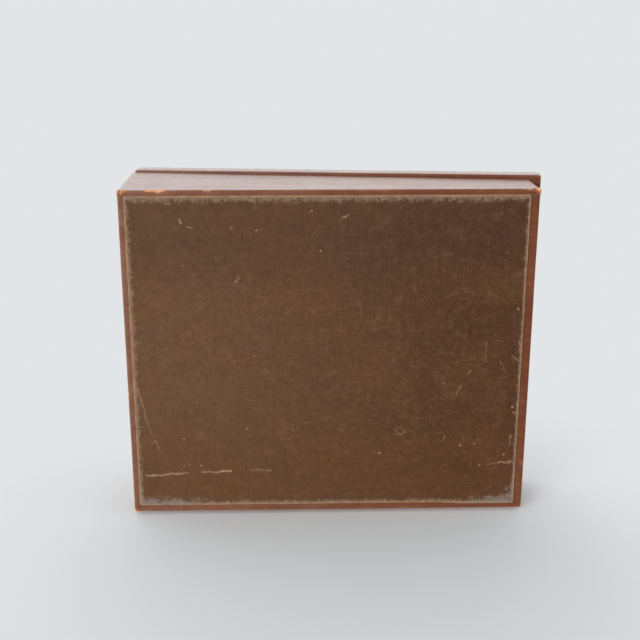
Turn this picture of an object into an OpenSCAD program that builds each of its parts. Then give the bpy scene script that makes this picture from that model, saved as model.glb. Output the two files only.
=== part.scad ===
// A console case for a two-player fleet guessing game. A leather-covered wooden wedge stands
// on a felt pad. Its flat lid turns on two stop hinges at the high back and stands up as a
// screen. Both halves hold a ten-by-ten peg board, and a well behind the lower board holds
// the ships and the pegs.
// +Z is up, the low front faces -Y, and the origin is the middle of the case's footprint.

/* [Case] */
// Width of the case across its sides
case_w = 255; // [250:1:270]
// Depth of the case from its low front to its high back
case_d = 305; // [300:1:320]
// Height of the back rim above the table
back_h = 80; // [79:1:84]
// Height of the front rim above the table
front_h = 42; // [41:1:44]
// Thickness of the wooden walls and of the base board
wall_t = 8; // [7.5:0.1:8.5]
// Thickness of the covering leather
leather_t = 1.2; // [1:0.1:1.4]

/* [Base] */
// Thickness of the felt pad that the case stands on
felt_t = 0.9; // [0.7:0.1:1.2]
// Leather left showing under the back edge
edge_back = 4.5; // [3:0.1:7]
// Leather left showing under the front edge
edge_front = 6.6; // [3:0.1:8]
// Leather left showing under the left edge
edge_left = 4; // [3:0.1:7]
// Leather left showing under the right edge
edge_right = 4.4; // [3:0.1:7]
// How far the leather is turned in under the base
turn_in = 14; // [11:1:20]

/* [Lid] */
// Thickness of the lid over its leather
lid_t = 13.8; // [13:0.1:15]
// How far the lid reaches past the front wall, for the fingers
lid_lip = 9; // [6:0.5:12]
// How far the lid reaches past each side wall
lid_side = 2.4; // [1:0.1:4]
// How far the lid's back edge stands in from the back of the case
lid_back = 1.7; // [0:0.1:3]
// Angle that the lid opens to, where its hinges stop it
open_angle = 105; // [100:1:110]

/* [Hinges] */
// Length of each hinge
hinge_len = 50; // [44:1:60]
// Distance from the middle of the case to the middle of each hinge
hinge_x = 75; // [60:1:80]
// Radius of the hinge pins
pin_r = 1.1; // [1:0.05:1.2]

/* [Peg boards] */
// Holes along each side of a board
cells = 10; // [8:1:10]
// Distance from hole to hole
pitch = 19; // [18:0.5:19]
// Radius of the peg holes
hole_r = 1.45; // [1.4:0.05:1.6]
// Depth of the lower board below the rim
board_drop = 20; // [18:0.5:21]

/* [Pieces] */
// Width of a ship
ship_w = 11; // [9:0.5:11.5]
// Height of a ship's hull
hull_h = 7; // [6:0.5:7.5]
// Rows of white pegs
white_rows = 9; // [1:1:9]
// Rows of red pegs
red_rows = 6; // [1:1:9]

/* [Hidden] */
$fn = 48;

slope = atan((back_h - front_h) / case_d);
out_x = case_w / 2;
out_y = case_d / 2;
// Half sizes of the woodwork, inside the leather, and of the room inside the walls
wood_x = out_x - leather_t;
wood_y = out_y - leather_t;
in_x = wood_x - wall_t;
in_y = wood_y - wall_t;
// Heights of the underside of the woodwork and of the floor inside
wood_z = felt_t + leather_t;
floor_z = wood_z + wall_t;
past = 20;                 // how far a cut runs past what it cuts

// Lid, in the frame of the rim
lid_gap = 0.3;             // daylight between the rim and the closed lid
lid_x = out_x + lid_side;
lid_front = -(case_d / cos(slope) + lid_lip);
lid_top = lid_gap + lid_t;
lid_in = lid_gap + leather_t;
lining_back = -12;
lining_front = lid_front + 14;
target_mid = (lining_back + lining_front) / 2;
target_t = 6.2;
board_edge = 9;            // board beyond the grid on each side

// Hinges
knuckle_r = 2.2;
knuckle_gap = 0.2;
pin_out = knuckle_r + knuckle_gap;   // how far the pin stands behind the case
leaf_w = 8;
leaf_t = 3.2;
stop_a = open_angle / 2 + 0.5;       // slope of the faces that meet when the lid is open
mid_knuckle = 0.4 * hinge_len;
play = 0.05;                         // running clearance of the lid's knuckle on the pin
screw_in = 5;                        // screws from the back of the case
screw_pitch = 18;
screw_r = 1;
screw_head_r = 2;
screw_head_h = 1.2;
screw_len = 10;

// Lower board and the well behind it
lining_t = 0.8;
board_t = 6;
board_back = 66;
board_front = -in_y + lining_t;
board_x = in_x - lining_t;
board_mid = (board_front + board_back) / 2;
partition_t = 6;
well_front = board_back + partition_t;
well_floor_z = 22;
well_floor_t = 4;
tray_z = well_floor_z + well_floor_t;
tray_h = 18;
tray_top = tray_z + tray_h;
tray_x = 60;
well_gap = 0.4;
ledge_w = 8;
groove_w = 0.8;
groove_d = 0.3;
hole_depth = 5;

// Ships, each standing in a recess of the tray on two pins
ship_recess = 4;
ship_gap = 0.6;
ship_pin_r = 1.3;
ship_pin_h = 5;
deck_h = 1.6;
hull_steps = 14;
tray_depth = in_y - lining_t - well_front - 2 * well_gap;
tray_y0 = well_front + well_gap;
ship_rows = [5, 4, 3, 3, 2];
row_pitch = tray_depth / len(ship_rows);

// Pegs
peg_r = 1.25;
peg_hole_r = 1.6;
peg_len = 6;
peg_head_r = 2.3;
peg_head_h = 3;
peg_pitch = 7;
peg_cols = 7;
rack_rows = 9;
rack_x0 = tray_x + well_gap;
rack_x1 = board_x - well_gap;

leather = "#7a4a38";
felt = "#62493a";
wood = "#b48c5c";
brass = "#b5913f";
suede = "#a5825c";
sea = "#24443f";
pewter = "#8d9197";

// Height of the rim plane at depth y, and the upright distance of a depth below it
function rim_z(y) = back_h - (out_y - y) * tan(slope);
function upright(depth) = depth / cos(slope);
function row_y(row) = tray_y0 + (row + 0.5) * row_pitch;
function cell_at(i, count) = (i - (count - 1) / 2) * pitch;
function ship_len(count) = count * pitch - 3;

// Half the breadth of a hull of length l at x: full amidships, fine at both ends
function half_breadth(x, l, b) = b / 2 * pow(1 - pow(abs(2 * x / l), 3), 0.7);
function hull_x(i, l) = -l / 2 * cos(180 * i / hull_steps);
function hull_outline(l, b) = concat(
    [for (i = [0 : hull_steps]) [hull_x(i, l), -half_breadth(hull_x(i, l), l, b)]],
    [for (i = [hull_steps - 1 : -1 : 1]) [hull_x(i, l), half_breadth(hull_x(i, l), l, b)]]);

module box(x0, x1, y0, y1, z0, z1) {
    translate([x0, y0, z0]) cube([x1 - x0, y1 - y0, z1 - z0]);
}

// Extrudes a (y, z) outline from x0 to x1
module along_x(x0, x1) {
    translate([x0, 0, 0]) rotate([90, 0, 90]) linear_extrude(x1 - x0) children();
}

// A block with upright sides from height z0 to an upright distance drop below the rim plane
module wedge(x0, x1, y0, y1, z0, drop) {
    along_x(x0, x1) polygon([[y0, z0], [y1, z0], [y1, rim_z(y1) - drop], [y0, rim_z(y0) - drop]]);
}

// A sloping slab with upright ends, between two upright distances below the rim plane
module slab(x0, x1, y0, y1, top, bottom) {
    along_x(x0, x1) polygon([[y0, rim_z(y0) - bottom], [y1, rim_z(y1) - bottom],
        [y1, rim_z(y1) - top], [y0, rim_z(y0) - top]]);
}

// The frame of the rim: origin on the back rim, +Y up the slope, +Z out of the case
module on_rim() translate([0, out_y, back_h]) rotate([slope, 0, 0]) children();

// The same frame, moved to the hinge pins' axis
module on_pin() on_rim() translate([0, pin_out, lid_gap / 2]) children();

module rod_x(x0, x1, r) translate([x0, 0, 0]) rotate([0, 90, 0]) cylinder(h = x1 - x0, r = r);

// ---- Hinges ----

// Plate of a body leaf, before its knuckles: the slanted end is the stop face
module leaf_plate(side) {
    x0 = side * hinge_x - hinge_len / 2;
    along_x(x0, x0 + hinge_len) polygon([[-pin_out - leaf_w, -lid_gap / 2],
        [-pin_out - leaf_w, -leaf_t], [leaf_t / tan(stop_a), -leaf_t], [0, 0]]);
}

module screw_places(side) {
    for (i = [-1 : 1])
        translate([side * hinge_x + i * screw_pitch, -screw_in - pin_out, -lid_gap / 2]) children();
}

// A countersunk screw, head up, with its top at height 0
module screw() {
    translate([0, 0, -screw_head_h]) cylinder(h = screw_head_h, r1 = screw_r, r2 = screw_head_r);
    translate([0, 0, -screw_len]) cylinder(h = screw_len - screw_head_h + 0.01, r = screw_r);
}

module body_leaf(side) {
    x0 = side * hinge_x - hinge_len / 2;
    x1 = x0 + hinge_len;
    m0 = side * hinge_x - mid_knuckle / 2;
    m1 = m0 + mid_knuckle;
    on_pin() difference() {
        union() {
            leaf_plate(side);
            rod_x(x0, m0 - knuckle_gap, knuckle_r);
            rod_x(m1 + knuckle_gap, x1, knuckle_r);
        }
        rod_x(m0 - knuckle_gap, m1 + knuckle_gap, knuckle_r + knuckle_gap);
        rod_x(x0 - 1, x1 + 1, pin_r);
        screw_places(side) screw();
    }
}

module lid_leaf(side) {
    x0 = side * hinge_x - hinge_len / 2;
    x1 = x0 + hinge_len;
    m0 = side * hinge_x - mid_knuckle / 2;
    m1 = m0 + mid_knuckle;
    on_pin() difference() {
        union() {
            mirror([0, 0, 1]) leaf_plate(side);
            rod_x(m0, m1, knuckle_r);
        }
        rod_x(x0 - 1, m0, knuckle_r + knuckle_gap);
        rod_x(m1, x1 + 1, knuckle_r + knuckle_gap);
        rod_x(m0 - 1, m1 + 1, pin_r + play);
        mirror([0, 0, 1]) screw_places(side) screw();
    }
}

module hinge_pin(side) {
    x0 = side * hinge_x - hinge_len / 2;
    on_pin() rod_x(x0, x0 + hinge_len, pin_r);
}

// Room for both body leaves in the rim, and for their screws
module body_hinge_room() {
    on_pin() for (side = [-1, 1]) {
        box(side * hinge_x - hinge_len / 2, side * hinge_x + hinge_len / 2,
            -pin_out - leaf_w, past, -leaf_t, past);
        screw_places(side) screw();
    }
}

// The same for the lid
module lid_hinge_room() {
    on_pin() mirror([0, 0, 1]) for (side = [-1, 1]) {
        box(side * hinge_x - hinge_len / 2, side * hinge_x + hinge_len / 2,
            -pin_out - leaf_w, past, -leaf_t, past);
        screw_places(side) screw();
    }
}

// ---- Case ----

module base_felt() {
    color(felt) box(-out_x + edge_left, out_x - edge_right,
        -out_y + edge_front, out_y - edge_back, 0, felt_t);
}

module base_card() {
    color("#8b6f58") box(-out_x + turn_in, out_x - turn_in,
        -out_y + turn_in, out_y - turn_in, felt_t, wood_z);
}

module base_board() {
    color(wood) box(-in_x, in_x, -in_y, in_y, wood_z, floor_z);
}

module side_wall(side) {
    x0 = side > 0 ? in_x : -wood_x;
    color(wood) wedge(x0, x0 + wall_t, -wood_y, wood_y, wood_z, upright(leather_t));
}

module left_wall() side_wall(-1);
module right_wall() side_wall(1);

module front_wall() {
    color(wood) wedge(-in_x, in_x, -wood_y, -in_y, wood_z, upright(leather_t));
}

module back_wall() {
    color(wood) difference() {
        wedge(-in_x, in_x, in_y, wood_y, wood_z, upright(leather_t));
        body_hinge_room();
    }
}

// One skin round the four walls, over the rim, and turned in under the base
module body_leather() {
    color(leather) difference() {
        wedge(-out_x, out_x, -out_y, out_y, felt_t, 0);
        wedge(-wood_x, wood_x, -wood_y, wood_y, wood_z, upright(leather_t));
        wedge(-in_x, in_x, -in_y, in_y, wood_z, -past);
        box(-out_x + turn_in, out_x - turn_in, -out_y + turn_in, out_y - turn_in, 0, floor_z);
        body_hinge_room();
    }
}

// Suede round the inside of the walls, from the lower board to the rim
module wall_lining() {
    color(suede) difference() {
        slab(-in_x, in_x, -in_y, in_y, 0, upright(board_drop));
        slab(-board_x, board_x, board_front, in_y - lining_t, -past, board_drop + past);
        body_hinge_room();
    }
}

// Sloping strip under each side of the lower board
module ledge(side) {
    x0 = side > 0 ? in_x - ledge_w : -in_x;
    color(wood) wedge(x0, x0 + ledge_w, -in_y, board_back, floor_z, upright(board_drop + board_t));
}

module left_ledge() ledge(-1);
module right_ledge() ledge(1);

// Level strip under each side of the well's floor
module cleat(side) {
    x0 = side > 0 ? in_x - ledge_w : -in_x;
    color(wood) box(x0, x0 + ledge_w, well_front, in_y, floor_z, well_floor_z);
}

module left_cleat() cleat(-1);
module right_cleat() cleat(1);

module partition() {
    color(wood) box(-in_x, in_x, board_back, well_front, floor_z,
        rim_z(board_back) - upright(board_drop));
}

module well_floor() {
    color(suede) box(-in_x, in_x, well_front, in_y, well_floor_z, tray_z);
}

// ---- Peg boards ----

// The holes and grooves of a ten-by-ten grid, sunk into a face at height 0 round the origin
module grid_cuts() {
    half = cells * pitch / 2;
    for (i = [0 : cells - 1])
        for (j = [0 : cells - 1])
            translate([cell_at(i, cells), cell_at(j, cells), -hole_depth])
                cylinder(h = hole_depth + 1, r = hole_r);
    for (i = [0 : cells]) {
        at = i * pitch - half;
        box(at - groove_w / 2, at + groove_w / 2, -half, half, -groove_d, 1);
        box(-half, half, at - groove_w / 2, at + groove_w / 2, -groove_d, 1);
    }
}

module fleet_board() {
    color(sea) difference() {
        slab(-board_x, board_x, board_front, board_back,
            upright(board_drop), upright(board_drop + board_t));
        on_rim() translate([0, (board_mid - out_y) / cos(slope)
            - board_drop * tan(slope), -board_drop]) grid_cuts();
    }
}

module target_board() {
    half = cells * pitch / 2 + board_edge;
    color(sea) on_rim() difference() {
        box(-half, half, target_mid - half, target_mid + half, lid_gap, lid_gap + target_t);
        translate([0, target_mid, lid_gap]) mirror([0, 0, 1]) grid_cuts();
    }
}

// ---- Lid ----

module lid_board() {
    half = cells * pitch / 2 + board_edge;
    color(wood) difference() {
        on_rim() box(-lid_x + leather_t, lid_x - leather_t, lid_front + leather_t,
            -lid_back - leather_t, lid_in, lid_top - leather_t);
        on_rim() box(-half, half, target_mid - half, target_mid + half, -1, lid_gap + target_t);
        lid_hinge_room();
    }
}

// One skin over the lid, turned in round the edge of its underside
module lid_leather() {
    color(leather) difference() {
        on_rim() box(-lid_x, lid_x, lid_front, -lid_back, lid_gap, lid_top);
        on_rim() box(-lid_x + leather_t, lid_x - leather_t, lid_front + leather_t,
            -lid_back - leather_t, lid_in, lid_top - leather_t);
        on_rim() box(-in_x, in_x, lining_front, lining_back, -1, lid_in + 1);
        lid_hinge_room();
    }
}

// Suede on the lid's underside, round the target board
module lid_lining() {
    half = cells * pitch / 2 + board_edge;
    color(suede) on_rim() difference() {
        box(-in_x, in_x, lining_front, lining_back, lid_gap, lid_in);
        box(-half, half, target_mid - half, target_mid + half, -1, lid_in + 1);
    }
}

module left_hinge_body_leaf() color(brass) body_leaf(-1);
module right_hinge_body_leaf() color(brass) body_leaf(1);
module left_hinge_lid_leaf() color(brass) lid_leaf(-1);
module right_hinge_lid_leaf() color(brass) lid_leaf(1);
module left_hinge_pin() color(brass) hinge_pin(-1);
module right_hinge_pin() color(brass) hinge_pin(1);

module body_leaf_screws() {
    color(brass) on_pin() for (side = [-1, 1]) screw_places(side) screw();
}

module lid_leaf_screws() {
    color(brass) on_pin() mirror([0, 0, 1]) for (side = [-1, 1]) screw_places(side) screw();
}

// ---- Ships and their tray ----

module ship_tray() {
    color(wood) difference() {
        box(-tray_x, tray_x, tray_y0, tray_y0 + tray_depth, tray_z, tray_top);
        for (row = [0 : len(ship_rows) - 1]) {
            count = ship_rows[row];
            half_l = ship_len(count) / 2 + ship_gap;
            box(-half_l, half_l, row_y(row) - ship_w / 2 - ship_gap, row_y(row) + ship_w / 2 + ship_gap,
                tray_top - ship_recess, tray_top + 1);
            for (i = [0, count - 1])
                translate([cell_at(i, count), row_y(row), tray_top - ship_recess - ship_pin_h - 1])
                    cylinder(h = ship_pin_h + 2, r = ship_pin_r + ship_gap);
        }
    }
}

// A turret with two guns that point along the ship
module turret() {
    cylinder(h = 2.2, r = 2.6);
    for (y = [-0.9, 0.9]) translate([0, y, 1.2]) rod_x(0, 5, 0.5);
}

// A bridge tower with a mast
module bridge() {
    box(-3.2, 3.2, -2.6, 2.6, 0, 2.6);
    box(-2, 2.4, -1.8, 1.8, 2, 4.4);
    cylinder(h = 6, r = 0.6);
}

// A funnel on a low house
module funnel() {
    box(-4, 4, -2.4, 2.4, 0, 1.4);
    cylinder(h = 4.6, r = 1.7);
}

// What stands between two peg holes, by its number from the stern
module fitting(number, count) {
    middle = floor((count - 1) / 2);
    if (number == middle) bridge();
    else if (number == middle - 1) funnel();
    else turret();
}

// A ship over count cells, standing on height 0 with its bow at +X
module ship(count) {
    l = ship_len(count);
    difference() {
        union() {
            linear_extrude(hull_h) polygon(hull_outline(l, ship_w));
            translate([0, 0, hull_h - 0.5]) linear_extrude(deck_h + 0.5)
                polygon(hull_outline(l - 5, ship_w - 3));
            for (i = [0 : count - 2])
                translate([cell_at(i, count - 1), 0, hull_h + deck_h - 0.2]) fitting(i, count);
            for (i = [0, count - 1])
                translate([cell_at(i, count), 0, -ship_pin_h])
                    cylinder(h = ship_pin_h + 0.5, r = ship_pin_r);
        }
        for (i = [0 : count - 1])
            translate([cell_at(i, count), 0, hull_h + deck_h - hole_depth])
                cylinder(h = hole_depth + 1, r = hole_r);
    }
}

module ship_in_row(row) {
    color(pewter) translate([0, row_y(row), tray_top - ship_recess]) ship(ship_rows[row]);
}

module ship_of_five() ship_in_row(0);
module ship_of_four() ship_in_row(1);
module first_ship_of_three() ship_in_row(2);
module second_ship_of_three() ship_in_row(3);
module ship_of_two() ship_in_row(4);

// ---- Pegs and their racks ----

module peg_places(side, rows) {
    for (i = [0 : peg_cols - 1])
        for (j = [0 : rows - 1])
            translate([side * (rack_x0 + rack_x1) / 2 + (i - (peg_cols - 1) / 2) * peg_pitch,
                tray_y0 + tray_depth / 2 + (j - (rack_rows - 1) / 2) * peg_pitch, tray_top])
                children();
}

module peg_rack(side) {
    x0 = side > 0 ? rack_x0 : -rack_x1;
    color(wood) difference() {
        box(x0, x0 + rack_x1 - rack_x0, tray_y0, tray_y0 + tray_depth, tray_z, tray_top);
        peg_places(side, rack_rows) translate([0, 0, -peg_len - 1])
            cylinder(h = peg_len + 2, r = peg_hole_r);
    }
}

// A peg whose head rests on height 0
module peg() {
    rotate_extrude() polygon([[0, -peg_len], [peg_r - 0.3, -peg_len], [peg_r, -peg_len + 0.6],
        [peg_r, 0], [peg_head_r, 0], [peg_head_r, peg_head_h - 1], [peg_head_r - 1, peg_head_h],
        [0, peg_head_h]]);
}

module white_peg_rack() peg_rack(-1);
module red_peg_rack() peg_rack(1);
module white_pegs() color("#ece8dc") peg_places(-1, white_rows) peg();
module red_pegs() color("#a5231f") peg_places(1, red_rows) peg();

base_felt();
base_card();
base_board();
left_wall();
right_wall();
front_wall();
back_wall();
body_leather();
wall_lining();
left_ledge();
right_ledge();
left_cleat();
right_cleat();
partition();
well_floor();
fleet_board();
ship_tray();
white_peg_rack();
red_peg_rack();
left_hinge_body_leaf();
right_hinge_body_leaf();
left_hinge_pin();
right_hinge_pin();
body_leaf_screws();
lid_board();
lid_leather();
lid_lining();
target_board();
left_hinge_lid_leaf();
right_hinge_lid_leaf();
lid_leaf_screws();
ship_of_five();
ship_of_four();
first_ship_of_three();
second_ship_of_three();
ship_of_two();
white_pegs();
red_pegs();
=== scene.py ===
"""A leather-covered console case for a fleet guessing game.

The camera looks up at its underside, and has the case's right side at the bottom of the picture.
The CAD frame gives every size and place. The two leather skins and the felt pad are built here as
soft-edged meshes in the space that their CAD solids hold, and every other piece keeps its CAD shape
and gets its material here. All lengths are in metres, in the frame's own axes.
"""

import math

import bmesh
import bpy
from mathutils import Matrix, Vector, noise


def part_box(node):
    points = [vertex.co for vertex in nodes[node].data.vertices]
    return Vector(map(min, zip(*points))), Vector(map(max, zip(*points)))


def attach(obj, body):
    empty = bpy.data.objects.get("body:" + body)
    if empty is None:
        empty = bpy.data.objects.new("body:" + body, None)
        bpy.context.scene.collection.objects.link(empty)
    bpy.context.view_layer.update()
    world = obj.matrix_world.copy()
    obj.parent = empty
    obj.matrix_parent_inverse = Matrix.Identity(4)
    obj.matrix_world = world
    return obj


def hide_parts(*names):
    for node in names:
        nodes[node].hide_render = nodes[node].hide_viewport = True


MM = 0.001

# ---------------------------------------------------------------- the frame

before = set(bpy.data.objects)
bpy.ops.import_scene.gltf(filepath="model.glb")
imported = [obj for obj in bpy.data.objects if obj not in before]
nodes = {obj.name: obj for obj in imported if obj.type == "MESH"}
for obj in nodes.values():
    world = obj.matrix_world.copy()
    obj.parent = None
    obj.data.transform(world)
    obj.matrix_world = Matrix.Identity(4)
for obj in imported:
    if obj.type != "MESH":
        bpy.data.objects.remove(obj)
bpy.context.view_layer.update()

body_lo, body_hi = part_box("body_leather")
felt_lo, felt_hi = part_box("base_felt")
card_lo, card_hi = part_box("base_card")
room_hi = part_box("base_board")[1]

LEATHER = card_hi.z - card_lo.z
BACK_RIM = body_hi.z
FRONT_RIM = max(v.co.z for v in nodes["body_leather"].data.vertices if v.co.y < body_lo.y + MM)
SLOPE = math.atan2(BACK_RIM - FRONT_RIM, body_hi.y - body_lo.y)

# The rim's own frame: origin on the back rim, Y up the slope, Z out of the case
RIM = Matrix.Translation((0, body_hi.y, BACK_RIM)) @ Matrix.Rotation(SLOPE, 4, "X")


def rim_box(node):
    """Lowest and highest corner of a CAD node in the rim's frame."""
    back = RIM.inverted()
    points = [back @ v.co for v in nodes[node].data.vertices]
    return (Vector([min(p[i] for p in points) for i in range(3)]),
            Vector([max(p[i] for p in points) for i in range(3)]))


lid_lo, lid_hi = rim_box("lid_leather")
lining_lo = rim_box("lid_lining")[0]
target_lo, target_hi = rim_box("target_board")
fleet_lo, fleet_hi = rim_box("fleet_board")


def rim_height(y):
    """Height of the rim plane at depth y."""
    return BACK_RIM - (body_hi.y - y) * math.tan(SLOPE)


# ---------------------------------------------------------------- mesh making

ARC_STEPS = 5          # facets round an upright corner
SIDE_STEP = 3.2 * MM   # spacing of the mesh along a side


def outline(lo, hi, radius, inset):
    """Points round a rectangle with round corners, moved inwards by inset, always as many."""
    keep = max(radius, inset + 0.25 * MM)
    arc = keep - inset
    counts = [max(2, round((hi.y - lo.y) / SIDE_STEP)), max(2, round((hi.x - lo.x) / SIDE_STEP))]
    centres = [Vector((hi.x - keep, lo.y + keep)), Vector((hi.x - keep, hi.y - keep)),
               Vector((lo.x + keep, hi.y - keep)), Vector((lo.x + keep, lo.y + keep))]
    points = []
    for corner, centre in enumerate(centres):
        for i in range(ARC_STEPS + 1):
            turn = math.radians(90 * (corner - 1 + i / ARC_STEPS))
            points.append(centre + arc * Vector((math.cos(turn), math.sin(turn))))
        start = points[-1]
        turn = math.radians(90 * corner)
        end = centres[(corner + 1) % 4] + arc * Vector((math.cos(turn), math.sin(turn)))
        count = counts[corner % 2]
        points += [start.lerp(end, i / count) for i in range(1, count)]
    return points


def loft(name, rows, closed):
    """A mesh through rows of points. closed joins the last row to the first, else both are capped."""
    bm = bmesh.new()
    made = [[bm.verts.new(p) for p in row] for row in rows]
    pairs = list(zip(made, made[1:])) + ([(made[-1], made[0])] if closed else [])
    for low, high in pairs:
        for i in range(len(low)):
            j = (i + 1) % len(low)
            bm.faces.new((low[i], low[j], high[j], high[i]))
    if not closed:
        bm.faces.new(list(reversed(made[0])))
        bm.faces.new(made[-1])
    bmesh.ops.recalc_face_normals(bm, faces=bm.faces)
    mesh = bpy.data.meshes.new(name)
    bm.to_mesh(mesh)
    bm.free()
    mesh.shade_smooth()
    obj = bpy.data.objects.new(name, mesh)
    bpy.context.scene.collection.objects.link(obj)
    return obj


def steps(start, end, count):
    """Numbers from start to end, count equal steps apart."""
    return [start + (end - start) * i / count for i in range(count + 1)]


def rounded(radius, count=4):
    """(inset, drop) pairs round a quarter circle, from a side face over to the next face."""
    return [(radius * (1 - math.cos(math.radians(90 * i / count))),
             radius * (1 - math.sin(math.radians(90 * i / count)))) for i in range(count + 1)]


def push_out(obj, amount):
    """Moves each vertex along its normal by amount(point)."""
    mesh = obj.data
    moves = [amount(v.co) for v in mesh.vertices]
    normals = [v.normal.copy() for v in mesh.vertices]
    for v, normal, move in zip(mesh.vertices, normals, moves):
        v.co += normal * move
    mesh.update()


def paint(obj, name, value):
    """Stores value(point) on every vertex, for the material to read."""
    layer = obj.data.attributes.new(name, "FLOAT", "POINT")
    layer.data.foreach_set("value", [value(v.co) for v in obj.data.vertices])


def ripple(point, size, depth):
    """A smooth random height of up to depth either way, with waves of about size."""
    return depth * noise.noise(point / size)


def smooth(low, high, value):
    """0 up to low, 1 from high, and a soft step between them."""
    t = min(1.0, max(0.0, (value - low) / (high - low)))
    return t * t * (3 - 2 * t)


def cut(obj, boxes):
    """Cuts boxes, given as (low, high) in the rim's frame, out of a mesh."""
    bm = bmesh.new()
    for low, high in boxes:
        made = bmesh.ops.create_cube(bm, size=1)["verts"]
        size = Matrix.Diagonal((*(high - low), 1))
        bmesh.ops.transform(bm, matrix=RIM @ Matrix.Translation((low + high) / 2) @ size, verts=made)
    mesh = bpy.data.meshes.new("cutter")
    bm.to_mesh(mesh)
    bm.free()
    cutter = bpy.data.objects.new("cutter", mesh)
    bpy.context.scene.collection.objects.link(cutter)
    modifier = obj.modifiers.new("cut", "BOOLEAN")
    modifier.operation = "DIFFERENCE"
    modifier.solver = "EXACT"
    modifier.object = cutter
    depsgraph = bpy.context.evaluated_depsgraph_get()
    result = bpy.data.meshes.new_from_object(obj.evaluated_get(depsgraph))
    obj.modifiers.clear()
    obj.data = result
    bpy.data.objects.remove(cutter)


# ---------------------------------------------------------------- wear

# Rubbed and chipped places on the leather: share of the case's width, depth and height,
# radius in millimetres, strength
WORN_PLACES = [
    (0.00, 0.925, 0.00, 5, 1.5), (0.00, 0.900, 0.00, 7, 1.7), (0.00, 0.868, 0.00, 4, 1.0),
    (0.00, 0.79, 0.00, 4, 1.5), (0.00, 0.60, 0.00, 4, 0.6), (0.00, 0.37, 0.00, 8, 0.8),
    (0.00, 0.42, 0.00, 5, 0.9), (0.00, 0.137, 0.00, 4, 0.9), (0.00, 0.975, 0.00, 5, 0.9),
    (0.00, 0.00, 0.00, 7, 1.3), (0.00, 1.00, 0.00, 6, 0.7), (1.00, 1.00, 0.00, 6, 1.0),
    (1.00, 0.00, 0.00, 5, 0.4), (0.61, 1.00, 0.00, 4, 1.2), (0.85, 0.007, 0.00, 3.4, 1.7),
    (0.00, 1.00, 0.99, 6, 1.2), (1.00, 1.00, 0.97, 5, 0.9), (1.00, 0.30, 0.0, 5, 0.5),
    (0.30, 0.00, 0.00, 5, 0.6), (0.72, 0.00, 0.00, 4, 0.5), (0.5, 1.00, 0.0, 6, 0.5),
    (0.012, 0.988, 0.00, 4, 1.5), (0.25, 1.00, 0.50, 4, 0.5), (1.00, 0.62, 1.00, 5, 0.5),
    (0.00, 0.30, 1.00, 5, 0.6), (0.00, 0.030, 0.00, 3.4, 1.4),
]
worn_places = [(Vector([body_lo[i] + place[i] * (body_hi[i] - body_lo[i]) for i in range(3)]),
                place[3] * MM, place[4]) for place in WORN_PLACES]

# Three of them, at corners of the base, are bruised as well and swell by about this much
bruised_corners = worn_places[9:12]
BRUISE = 0.7 * MM


def wear_at(point, faces):
    """Rubbing at a point: 0 on open leather, more towards edges, corners and worn places.

    faces are the distances from the point to the case's outer faces.
    """
    near = sorted(abs(d) for d in faces)
    edge = 1 - smooth(0.3 * MM, 2.2 * MM, near[1])
    corner = 1 - smooth(0.5 * MM, 7 * MM, near[2])
    value = 0.42 * edge + 0.34 * corner * edge
    for place, radius, strength in worn_places:
        value += strength * 0.6 * (1 - smooth(0.2 * radius, radius, (point - place).length))
    return value


def seam_shade_at(faces):
    """Painted shade in the seam between case and lid: 1 on the faces that meet in it, 0 from 1 mm off
    them.

    It also fades out over the last 0.6 mm before an outer face.
    """
    return (1 - smooth(0.2 * MM, 1.0 * MM, abs(faces[5]))) * smooth(0, 0.6 * MM, min(faces[:4]))


def body_faces(point):
    """Distances from a point to the case's left, right, front and back, its base and its rim plane."""
    return (point.x - body_lo.x, body_hi.x - point.x, point.y - body_lo.y, body_hi.y - point.y,
            point.z - body_lo.z, (rim_height(point.y) - point.z) * math.cos(SLOPE))


def lid_faces(point):
    """Distances from a point to the lid's left, right, front and back, its top and its underside."""
    p = RIM.inverted() @ point
    return (p.x - lid_lo.x, lid_hi.x - p.x, p.y - lid_lo.y, lid_hi.y - p.y,
            lid_hi.z - p.z, p.z - lid_lo.z)


# ---------------------------------------------------------------- leather and felt pieces

# The skins are cut out round the hinge leaves, this far from them
LEAF_SLACK = Vector((0.1 * MM, 0.1 * MM, 0.1 * MM))
LEAF_OPEN = Vector((0, 0, 2 * MM))   # how far the cut reaches on, out of the skin


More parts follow.
